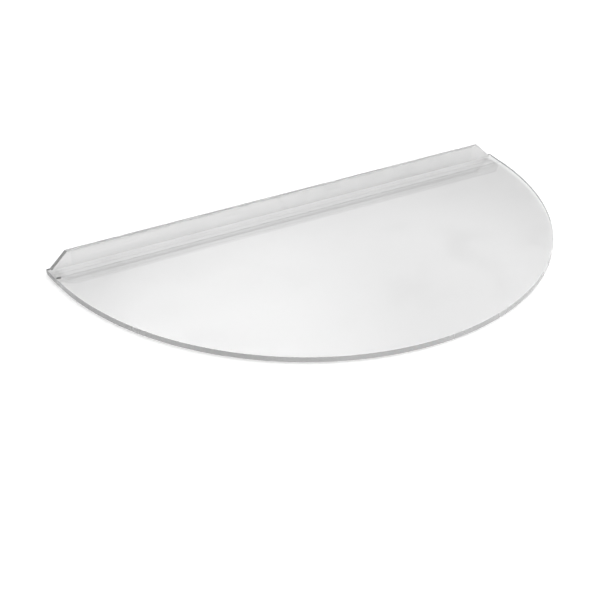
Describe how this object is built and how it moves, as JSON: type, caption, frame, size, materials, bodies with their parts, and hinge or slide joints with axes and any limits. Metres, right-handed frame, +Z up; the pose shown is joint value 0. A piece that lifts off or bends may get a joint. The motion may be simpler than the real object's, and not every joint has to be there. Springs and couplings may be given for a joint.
{
  "type": "half-round sneeze guard",
  "caption": "Clear acrylic half-round sneeze guard: a half-disc shield panel cemented to an L-section profile whose upright flange is taped to a counter or display unit.",
  "frame": {"origin": "centre of the guard's footprint, on the plane that it lies on", "axes": "+X along the straight rear edge, +Y from the rounded front towards the flange, +Z up"},
  "size_m": [0.5, 0.2739, 0.022],
  "materials": {
    "clear_acrylic": "polished",
    "profile_acrylic": "extruded, polished",
    "cement": "cured, clear",
    "tape": "clear, with small trapped bubbles"
  },
  "bodies": {
    "root": {"guard_panel": "clear_acrylic", "mounting_profile": "profile_acrylic", "joint_strip": "clear_acrylic", "joint_bead": "cement", "mounting_tape": "tape"}
  },
  "joints": []
}
